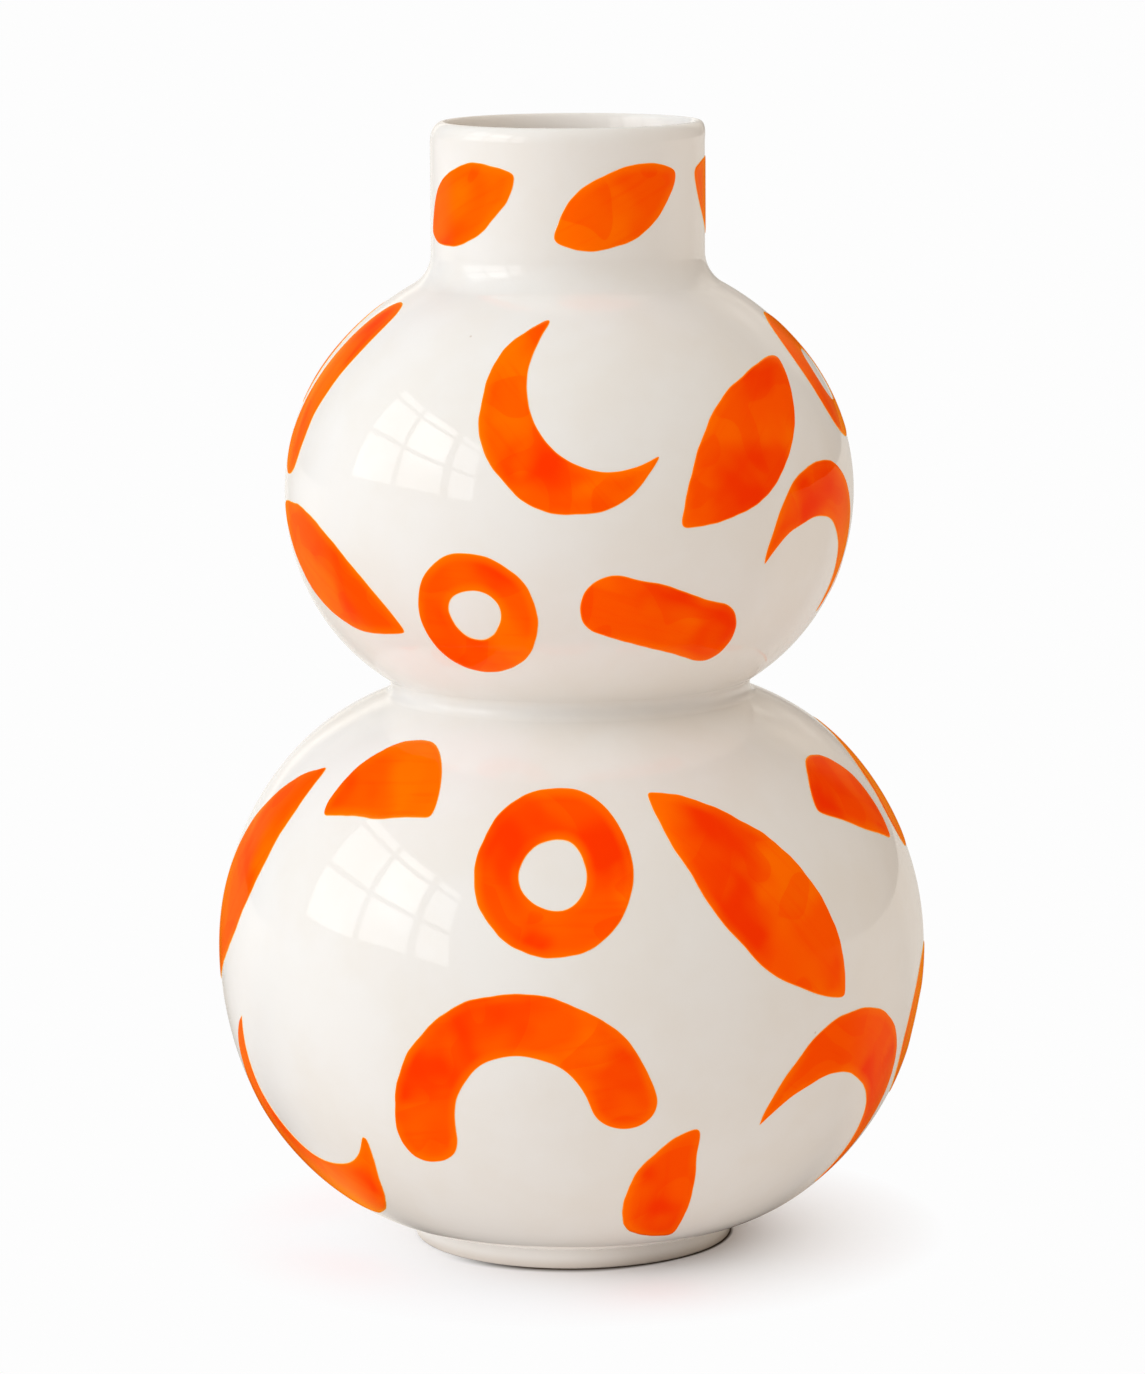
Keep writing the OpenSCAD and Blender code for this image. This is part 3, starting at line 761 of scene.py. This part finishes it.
# Base: the heights between which its clay gives way to glaze, its grain, and the rings the wheel left
CLAY_HEIGHTS = ((FOOT_H + 1) * MM, (FOOT_H + 2) * MM)
CLAY_GRAINS, CLAY_SPAN, CLAY_DEPTH = 900, (0.35, 0.7), 0.0002
RING_TURNS = 2200.0
BASE_ROUGHNESS = (0.08, 0.75)


def base_material():
    """Floor of the vessel: glazed on top, bare clay with turning rings underneath."""
    made, tree, shader = new_material("base_clay")
    where = add(tree, "TexCoord").outputs["Object"]
    height, radius = height_and_radius(tree, where)
    under = span(tree, height, *CLAY_HEIGHTS, 1.0, 0.0)
    grain = noise(tree, where, CLAY_GRAINS, 3.0)
    rings = maths(tree, "SINE", maths(tree, "MULTIPLY", radius, RING_TURNS))
    clay = blend(tree, span(tree, grain, *CLAY_SPAN), CLAY, CLAY_DARK)
    ringed = bump(tree, maths(tree, "MULTIPLY", rings, under), CLAY_DEPTH)
    sandy = bump(tree, maths(tree, "MULTIPLY", grain, under), CLAY_DEPTH, normal=ringed)
    link(tree, shader, Base_Color=blend(tree, under, GLAZE, clay), IOR=GLAZE_IOR,
         Roughness=span(tree, under, 0, 1, *BASE_ROUGHNESS), Normal=sandy)
    return made


# ---------------------------------------------------------------- pieces

def finish_piece(piece, material, slot, *nodes):
    """Gives a piece its material, hides the CAD nodes it replaces, and hangs it under the root body."""
    piece.data.materials.append(material)
    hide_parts(*nodes)
    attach(piece, "root")
    return piece


def build_vase():
    """Every piece of the vase, round the frame."""
    glaze, orange = glaze_material(), mark_material()
    sections = (
        ("foot", foot_rows(), ("foot_ring", "foot_seam")),
        ("lower_bowl_wall", walled(arc_rows(LOWER_BOWL)), ("lower_bowl",)),
        ("lower_shoulder_wall", walled(arc_rows(LOWER_SHOULDER)), ("lower_shoulder", "lower_belly_seam")),
        ("waist_wall", walled(arc_rows(WAIST)), ("waist_collar", "waist_seam")),
        ("upper_bowl_wall", walled(arc_rows(UPPER_BOWL)), ("upper_bowl",)),
        ("upper_shoulder_wall", walled(arc_rows(UPPER_SHOULDER)), ("upper_shoulder", "upper_belly_seam")),
        ("neck_wall", neck_rows(), ("neck_collar", "neck_seam")),
        ("lip", lip_rows(), ("rim_lip",)),
    )
    for name, rows, nodes in sections:
        finish_piece(lathe(name, rows), glaze, "glaze", *nodes)
    lower, upper = (0, WAIST_Z, LOWER_TABLE), (WAIST_Z, NECK_Z, UPPER_TABLE)
    neck = (NECK_Z, TOTAL_H, NECK_TABLE)
    kinds = (
        ("lower_leaves", leaf(*LOWER_LEAF), LOWER_LEAVES, lower),
        ("lower_arches", arch(LOWER_ARCH_R, STROKE_W), LOWER_ARCHES, lower),
        ("lower_crescents", crescent(LOWER_CRESCENT_R), LOWER_CRESCENTS, lower),
        ("lower_rings", ring(LOWER_RING_R), LOWER_RINGS, lower),
        ("lower_half_moons", half_moon(LOWER_MOON_R), LOWER_MOONS, lower),
        ("upper_leaves", leaf(*UPPER_LEAF), UPPER_LEAVES, upper),
        ("upper_crescents", crescent(UPPER_CRESCENT_R), UPPER_CRESCENTS, upper),
        ("upper_rings", ring(UPPER_RING_R), UPPER_RINGS, upper),
        ("upper_bars", bar(UPPER_BAR_L, STROKE_W), UPPER_BARS, upper),
        ("neck_leaves", leaf(*NECK_LEAF), NECK_LEAVES, neck),
    )
    for seed, (node, loops, places, section) in enumerate(kinds):
        finish_piece(marks(node + "_glaze", loops, places, *section, seed), orange, "mark", node)
    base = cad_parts["base_disc"]
    base.data.materials.clear()
    base.data.materials.append(base_material())


# ---------------------------------------------------------------- camera, floor and light

CAMERA_X, CAMERA_Y, CAMERA_Z = 0.000775, -2.0, 0.520
CAMERA_PITCH, CAMERA_ROLL = -9.13, -0.319
CAMERA_LENS, CAMERA_SENSOR = 148.82, 36.0

# Floor as the camera sees it: white, with a soft shadow that is lighter on the window's side. Distances
# are in metres from the axis, sides are shares to the right of it, and ways point away from it
BACKGROUND = 0.983
FLOOR_R = 40.0
FLOOR_WHITE = colour(BACKGROUND, BACKGROUND, BACKGROUND)
FLOOR_SHADED = colour(1.0, 1.0, 1.03)
SHADOW_FADE, SHADOW_SIDES, SHADOW_LIT_SIDE = (0.057, 0.135), (-0.9, -0.2), 0.60

# Light that the floor sends back to the vase. On the window's side it starts nearer to the foot
FLOOR_BOUNCE = colour(0.88, 0.83, 0.795)
BOUNCE_FADE, BOUNCE_FADE_LIT, BOUNCE_SIDES = (0.060, 0.120), (0.0568, 0.0600), (-0.2, 0.6)

# Painted contact shadow, a thin dark line where the foot stands: narrower to the right for the camera, even
# for bounced light
CONTACT_PAINTED_SHADOW = colour(0.09, 0.068, 0.052)
CONTACT_FROM, CONTACT_FRONT, CONTACT_RIGHT, CONTACT_BOUNCED = 0.0568, 0.0630, 0.0583, 0.061
CONTACT_NARROWED = (0.0, 0.7)
CONTACT_WAY, CONTACT_WAY_SPAN = (0.85, -0.53, 0.0), (-0.45, 0.1)
CONTACT_BOUNCED_SIDES = (-0.1, 0.6)

# Floor as the glaze mirrors it, in painted reflections: dark in front, paler behind, palest on the window's
# side, where it glows, and far behind
MIRRORED_FRONT, MIRRORED_BACK = colour(0.04, 0.04, 0.04), colour(0.54, 0.51, 0.46)
MIRRORED_BACK_WAY, MIRRORED_BACK_SPAN = (0.2, 0.98, 0.0), (0.0, 0.4)
MIRRORED_LIT = colour(0.90, 0.85, 0.78)
MIRRORED_LIT_WAY, MIRRORED_LIT_SPAN = (-0.75, 0.66, 0.0), (0.3, 0.75)
MIRRORED_LIT_FADE = (0.08, 0.16)
FAR_LEFT, FAR_RIGHT = colour(0.94, 0.91, 0.85), colour(0.72, 0.68, 0.62)
FAR_SIDES, FAR_FROM, FAR_BACK_SPAN = (-0.15, 0.15), (0.12, 0.35), (0.75, 0.90)

# Room as the glaze mirrors it: dim, paler behind the vase and more so near its outline, unevenly lit, with
# one soft glow. Sides and depths are shares of the direction
ROOM_TINT = colour(1.0, 0.93, 0.83)
ROOM_DIM, ROOM_LEFT, ROOM_RIGHT, ROOM_EDGE = 0.03, 0.45, 0.195, 2.2
ROOM_SIDES, ROOM_DEPTHS, ROOM_EDGE_DEPTHS = (-0.3, 0.2), (0.70, 0.86), (0.86, 0.95)
UNEVEN_GRAINS, UNEVEN_SPAN, UNEVEN_STRENGTH = 5, (0.35, 0.65), (0.8, 1.2)
GLOW_WAY, GLOW_DEG, GLOW_STRENGTH = (0.36, 0.82, 0.44), (20, 3), 0.5

# The window's wall stands far off to the left. Its pattern is in shares of that distance
WINDOW_FAR = 6.0
WINDOW_BEARING = -88.0
WINDOW_BASE_Z = 0.2
WINDOW_LIGHT = 3.1
PANE_MIRRORED, PANE_MIRRORED_MIDDLE = 1.6, 3.1
PANE_MIDDLE = (0.48, 0.60)
PANE_MIDDLE_FADE = (0.10, 0.42)
PANE_COLUMNS = ((-0.17, 0.205), (0.255, 0.695), (0.79, 1.13))
PANE_ROWS = ((0.125, 0.405), (0.445, 0.745), (0.785, 0.86))

LOBES = (
    # bearing, elevation, sharpness, colour
    (-45, 15, 6, (0.93, 1.03, 1.09)),
    (-80, 20, 3, (0.80, 1.04, 1.30)),
    (-25, 0, 8, (0.50, 0.43, 0.40)),
    (80, 15, 3, (0.85, 0.74, 0.62)),
    (180, 15, 3, (1.00, 0.89, 0.87)),
    (0, 90, 3, (1.00, 0.98, 0.93)),
)


def direction(bearing, elevation):
    """Unit vector towards a bearing from the front and an elevation."""
    level, up = unit(elevation)
    turn = math.radians(bearing)
    return Vector((math.sin(turn) * level, -math.cos(turn) * level, up))


def stage_object(name, points, faces, material):
    """Object that the vase stands on or mirrors."""
    mesh = bpy.data.meshes.new(name)
    mesh.from_pydata(points, [], faces)
    mesh.materials.append(material)
    made = bpy.data.objects.new(name, mesh)
    bpy.context.scene.collection.objects.link(made)
    return made


def make_camera():
    """Camera where the photograph's stood."""
    data = bpy.data.cameras.new("camera")
    data.sensor_width = CAMERA_SENSOR
    data.lens = CAMERA_LENS
    camera = bpy.data.objects.new("camera", data)
    bpy.context.scene.collection.objects.link(camera)
    tip = Matrix.Rotation(math.radians(90 + CAMERA_PITCH), 4, "X")
    roll = Matrix.Rotation(math.radians(CAMERA_ROLL), 4, "Z")
    camera.matrix_world = Matrix.Translation((CAMERA_X, CAMERA_Y, CAMERA_Z)) @ tip @ roll
    bpy.context.scene.camera = camera


def painted_contact_shadow(tree, camera_ray, distance, way, side):
    """Share of the painted contact shadow, the dark line where the foot stands."""
    narrowed = span(tree, side, *CONTACT_NARROWED, CONTACT_FRONT, CONTACT_RIGHT)
    reach = choose(tree, camera_ray, CONTACT_BOUNCED, narrowed)
    line = span(tree, distance, CONTACT_FROM, reach, 1.0, 0.0)
    dark = choose(tree, camera_ray, span(tree, side, *CONTACT_BOUNCED_SIDES),
                  span(tree, dot(tree, way, CONTACT_WAY), *CONTACT_WAY_SPAN))
    return maths(tree, "MULTIPLY", line, dark)


def seen_floor(tree, camera_ray, distance, way, side):
    """Floor for the camera and for soft light: white, and plain paper where the vase shades it, darkened by
    a painted contact shadow at the foot.
    """
    line = painted_contact_shadow(tree, camera_ray, distance, way, side)
    # Painted shadow: the paper darkens to a dark tone along the foot's edge
    paper = add(tree, "BsdfDiffuse", {"Color": blend(tree, line, FLOOR_SHADED, CONTACT_PAINTED_SHADOW)}).outputs[0]
    wash = blend(tree, camera_ray, FLOOR_BOUNCE, FLOOR_WHITE)
    white = add(tree, "Emission", {"Color": wash}).outputs[0]
    shadow = span(tree, distance, *SHADOW_FADE, 1.0, 0.0, smooth=False)
    shadow = maths(tree, "MULTIPLY", shadow, span(tree, side, *SHADOW_SIDES, SHADOW_LIT_SIDE, 1.0))
    lit = span(tree, distance, *BOUNCE_FADE_LIT)
    lit = maths(tree, "MULTIPLY", lit, span(tree, side, *BOUNCE_SIDES, 1.0, 0.0))
    bounced = maths(tree, "MAXIMUM", span(tree, distance, *BOUNCE_FADE), lit)
    washed = choose(tree, camera_ray, bounced, maths(tree, "SUBTRACT", 1.0, shadow))
    return add(tree, "MixShader", {0: washed, 1: paper, 2: white}).outputs[0]


def mirrored_floor(tree, distance, way, side):
    """Floor for the mirror rays of the glaze: painted reflections of the floor's light and shade."""
    back = dot(tree, way, MIRRORED_BACK_WAY)
    tone = blend(tree, span(tree, back, *MIRRORED_BACK_SPAN), MIRRORED_FRONT, MIRRORED_BACK)
    far_tone = blend(tree, span(tree, side, *FAR_SIDES), FAR_LEFT, FAR_RIGHT)
    far = maths(tree, "MULTIPLY", span(tree, distance, *FAR_FROM), span(tree, back, *FAR_BACK_SPAN))
    dim = add(tree, "BsdfDiffuse", {"Color": blend(tree, far, tone, far_tone)}).outputs[0]
    # Painted light: an emission on the window's side that only the mirror rays see
    lit = add(tree, "Emission", {"Color": MIRRORED_LIT}).outputs[0]
    share = span(tree, dot(tree, way, MIRRORED_LIT_WAY), *MIRRORED_LIT_SPAN)
    share = maths(tree, "MULTIPLY", share, span(tree, distance, *MIRRORED_LIT_FADE, 1.0, 0.0))
    return add(tree, "MixShader", {0: share, 1: dim, 2: lit}).outputs[0]


def make_floor():
    """Pale floor that keeps the shadow near the vase and runs into the white background."""
    made, tree = empty_material("floor_paper")
    where = add(tree, "TexCoord").outputs["Object"]
    distance = norm(tree, where)
    way = add(tree, "VectorMath", {0: where}, operation="NORMALIZE").outputs[0]
    side = add(tree, "SeparateXYZ", {"Vector": way}).outputs["X"]
    path = add(tree, "LightPath")
    seen = seen_floor(tree, path.outputs["Is Camera Ray"], distance, way, side)
    mirrored = mirrored_floor(tree, distance, way, side)
    either = add(tree, "MixShader", {0: path.outputs["Is Glossy Ray"], 1: seen, 2: mirrored}).outputs[0]
    add(tree, "OutputMaterial", {"Surface": either})
    corners = [(x * FLOOR_R, y * FLOOR_R, 0) for x, y in ((-1, -1), (1, -1), (1, 1), (-1, 1))]
    floor = stage_object("floor", corners, [(0, 1, 2, 3)], made)


def window_point(x, h):
    """Point of the window's wall, from its shares along the wall and up it."""
    away, along = direction(WINDOW_BEARING, 0), direction(WINDOW_BEARING + 90, 0)
    return WINDOW_FAR * (away + x * along) + Vector((0, 0, WINDOW_BASE_Z + WINDOW_FAR * h))


def make_window():
    """Panes of a large window, far off to the left, which the glaze mirrors."""
    made, tree = empty_material("window_light")
    where = add(tree, "TexCoord").outputs["Object"]
    middle = window_point(*PANE_MIDDLE)
    off = add(tree, "VectorMath", {0: where, 1: middle}, operation="DISTANCE").outputs["Value"]
    low, high = (WINDOW_FAR * share for share in PANE_MIDDLE_FADE)
    mirrored = span(tree, off, low, high, PANE_MIRRORED_MIDDLE, PANE_MIRRORED)
    strength = choose(tree, add(tree, "LightPath").outputs["Is Glossy Ray"], WINDOW_LIGHT, mirrored)
    glow = add(tree, "Emission", {"Color": colour(1, 1, 1), "Strength": strength})
    add(tree, "OutputMaterial", {"Surface": glow.outputs[0]})
    points, faces = [], []
    for x0, x1 in PANE_COLUMNS:
        for h0, h1 in PANE_ROWS:
            faces.append(tuple(range(len(points), len(points) + 4)))
            points += [window_point(*corner) for corner in ((x0, h0), (x1, h0), (x1, h1), (x0, h1))]
    window = stage_object("window", points, faces, made)
    window.visible_camera = False


def soft_light(tree, where):
    """Light from all round, as a sum of broad lobes."""
    total = None
    for bearing, elevation, sharpness, tint in LOBES:
        facing = dot(tree, where, direction(bearing, elevation))
        share = maths(tree, "POWER", maths(tree, "MAXIMUM", facing, 0.0), float(sharpness))
        lit = add(tree, "VectorMath", {0: tint, 3: share}, operation="SCALE").outputs[0]
        if total is not None:
            lit = add(tree, "VectorMath", {0: total, 1: lit}, operation="ADD").outputs[0]
        total = lit
    return total


def mirrored_room(tree, where):
    """Strength of the room for the mirror rays of the glaze."""
    parts = add(tree, "SeparateXYZ", {"Vector": where})
    uneven = span(tree, noise(tree, where, UNEVEN_GRAINS, 2.0), *UNEVEN_SPAN, *UNEVEN_STRENGTH)
    pale = span(tree, parts.outputs["X"], *ROOM_SIDES, ROOM_LEFT, ROOM_RIGHT)
    edge = span(tree, parts.outputs["Y"], *ROOM_EDGE_DEPTHS, 1.0, ROOM_EDGE)
    pale = maths(tree, "MULTIPLY", maths(tree, "MULTIPLY", pale, edge), uneven)
    room = span(tree, parts.outputs["Y"], *ROOM_DEPTHS, ROOM_DIM, pale)
    far, near = (math.cos(math.radians(deg)) for deg in GLOW_DEG)
    toward = dot(tree, where, Vector(GLOW_WAY).normalized())
    glow = maths(tree, "MULTIPLY", uneven, span(tree, toward, far, near, 0.0, GLOW_STRENGTH))
    return maths(tree, "ADD", room, glow)


def make_world():
    """Soft light for the vase, a white background for the camera and a dim room for the reflections."""
    world = bpy.data.worlds.new("studio")
    bpy.context.scene.world = world
    world.use_nodes = True
    tree = world.node_tree
    tree.nodes.clear()
    where = add(tree, "TexCoord").outputs["Generated"]
    path = add(tree, "LightPath")
    soft = add(tree, "Background", {"Color": soft_light(tree, where)}).outputs[0]
    room = add(tree, "Background", {"Color": ROOM_TINT, "Strength": mirrored_room(tree, where)}).outputs[0]
    white = add(tree, "Background", {"Color": colour(1, 1, 1), "Strength": BACKGROUND}).outputs[0]
    seen = add(tree, "MixShader", {0: path.outputs["Is Glossy Ray"], 1: soft, 2: room}).outputs[0]
    seen = add(tree, "MixShader", {0: path.outputs["Is Camera Ray"], 1: seen, 2: white}).outputs[0]
    add(tree, "OutputWorld", {"Surface": seen})


make_camera()
build_vase()
make_floor()
make_window()
make_world()
bpy.context.scene.view_settings.view_transform = "Standard"
